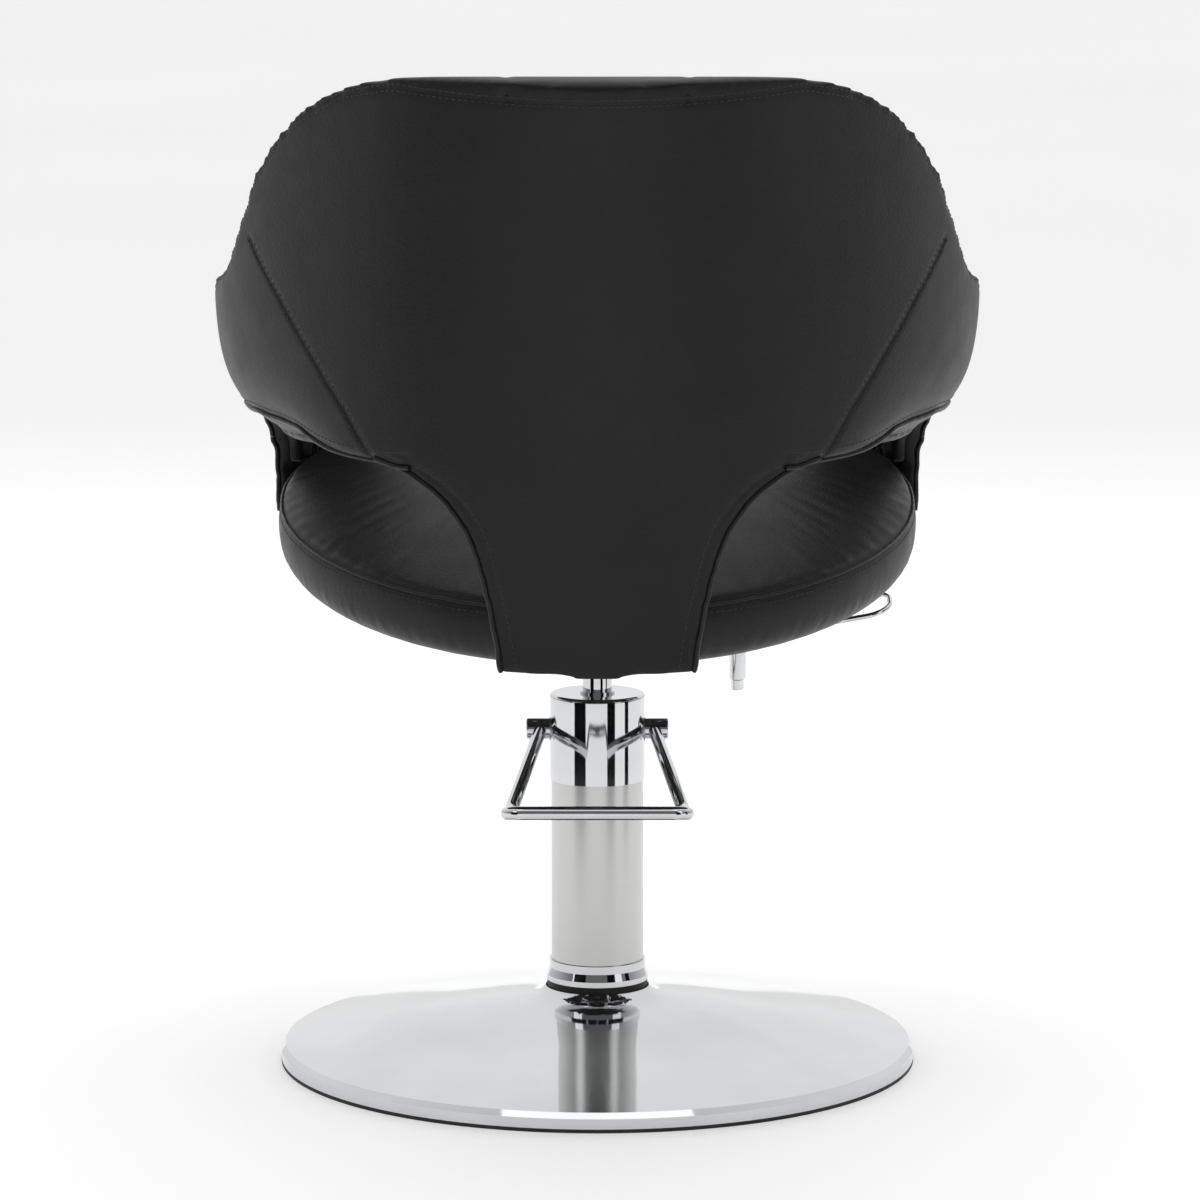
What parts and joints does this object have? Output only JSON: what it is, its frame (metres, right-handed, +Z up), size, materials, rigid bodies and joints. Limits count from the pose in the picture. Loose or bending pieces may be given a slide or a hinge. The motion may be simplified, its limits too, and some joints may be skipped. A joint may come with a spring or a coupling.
{
  "type": "hydraulic styling chair",
  "caption": "Salon chair with a round padded seat, wrap-around back with arms, pump column with a foot pedal and a round plate base.",
  "frame": {"origin": "on the floor at the centre of the round base", "axes": "+Z up; the chair faces -Y and the foot pedal is behind it at +Y; the tilt lever is on the -X side, the right hand of a person who sits in it"},
  "size_m": [0.7058, 0.7952, 0.9627],
  "materials": {
    "edge_rubber": "matt black rubber ring",
    "base_steel": "black primed steel plate",
    "chrome": "mirror chrome plate",
    "sleeve_steel": "satin steel brushed round the sleeve",
    "seal_rubber": "black sealing rubber",
    "cast_iron": "machined casting",
    "bearing_brass": "sintered bronze",
    "plain_steel": "zinc plated steel",
    "bracket_paint": "black powder coat",
    "plywood": "moulded beech plywood",
    "seat_leather": "black grained upholstery leather",
    "foam": "moulded seat foam",
    "cloth": "black dust cloth",
    "shell_leather": "black grained upholstery leather"
  },
  "bodies": {
    "base": {"base_edge_ring": "edge_rubber", "base_plate": "base_steel", "base_cover": "chrome", "flange_bolts": "plain_steel", "gap_ring": "seal_rubber", "column_foot_ring": "chrome", "column_tube": "sleeve_steel", "pump_flange": "base_steel", "pump_cylinder": "cast_iron", "pump_head": "cast_iron", "head_cover": "chrome", "ram_bush": "bearing_brass", "ram_wiper": "seal_rubber", "head_ring": "chrome", "axle_bushes": "bearing_brass", "release_valve": "plain_steel", "plunger_spring": "plain_steel"},
    "lift": {"piston": "cast_iron", "piston_seal": "seal_rubber", "bearing_race": "plain_steel", "bearing_balls": "plain_steel"},
    "swivel": {"ram": "chrome", "tilt_housing": "bracket_paint", "ram_nut": "plain_steel", "tilt_axle": "plain_steel", "tilt_springs": "plain_steel", "tilt_buffers": "seal_rubber"},
    "pedal": {"pedal_bar": "chrome", "pedal_axles": "chrome", "pedal_yoke": "plain_steel", "axle_screws": "chrome"},
    "plunger": {"pump_plunger": "plain_steel"},
    "lever": {"lever_sleeve": "chrome", "lever_loop": "chrome", "lever_cam": "plain_steel"},
    "clamp": {"clamp_bolt": "plain_steel"},
    "seat": {"arm_cover_left": "shell_leather", "arm_cover_right": "shell_leather", "arm_pad_left": "shell_leather", "arm_pad_right": "shell_leather", "back_cover": "shell_leather", "back_pad_center": "shell_leather", "back_pad_left": "shell_leather", "back_pad_right": "shell_leather", "back_strap": "bracket_paint", "board_inserts": "plain_steel", "bolt_guide": "plain_steel", "dust_cloth": "cloth", "leg_strap_left": "bracket_paint", "leg_strap_right": "bracket_paint", "lever_post": "plain_steel", "post_cap": "chrome", "seat_band": "seat_leather", "seat_board": "plywood", "seat_foam": "foam", "seat_plate": "bracket_paint", "seat_screws": "plain_steel", "seat_top_cover": "seat_leather", "shell_core": "plywood", "tilt_bushes": "bearing_brass"}
  },
  "joints": [
    {"name": "height", "type": "slide", "parent": "base", "child": "lift", "axis": [0, 0, 1], "range_m": [0, 0.13]},
    {"name": "turn", "type": "hinge", "parent": "lift", "child": "swivel", "pos_m": [0, 0, 0.4], "axis": [0, 0, 1], "continuous": true},
    {"name": "seat_tilt", "type": "hinge", "parent": "swivel", "child": "seat", "pos_m": [0, 0, 0.424], "axis": [1, 0, 0], "range_deg": [0, 12]},
    {"name": "tilt_lever", "type": "hinge", "parent": "seat", "child": "lever", "pos_m": [-0.133, -0.02837, 0.43003], "axis": [0, 0.2079, 0.9781], "range_deg": [0, 12]},
    {"name": "clamp_travel", "type": "slide", "parent": "seat", "child": "clamp", "axis": [1, 0, 0], "range_m": [-0.0002, 0.0025]},
    {"name": "foot_pedal", "type": "hinge", "parent": "base", "child": "pedal", "pos_m": [0, 0, 0.3165], "axis": [-1, 0, 0], "range_deg": [0, 22], "stiffness_Nm_per_rad": 6, "springref_deg": -20.05},
    {"name": "pump_stroke", "type": "slide", "parent": "base", "child": "plunger", "axis": [0, 0, -1], "range_m": [-0.0005, 0.0105], "deforming": ["plunger_spring"]}
  ],
  "couplings": [
    {"joint": "clamp_travel", "follows": "tilt_lever", "m_per_rad": 0.011},
    {"joint": "pump_stroke", "follows": "foot_pedal", "m_per_rad": 0.027}
  ]
}
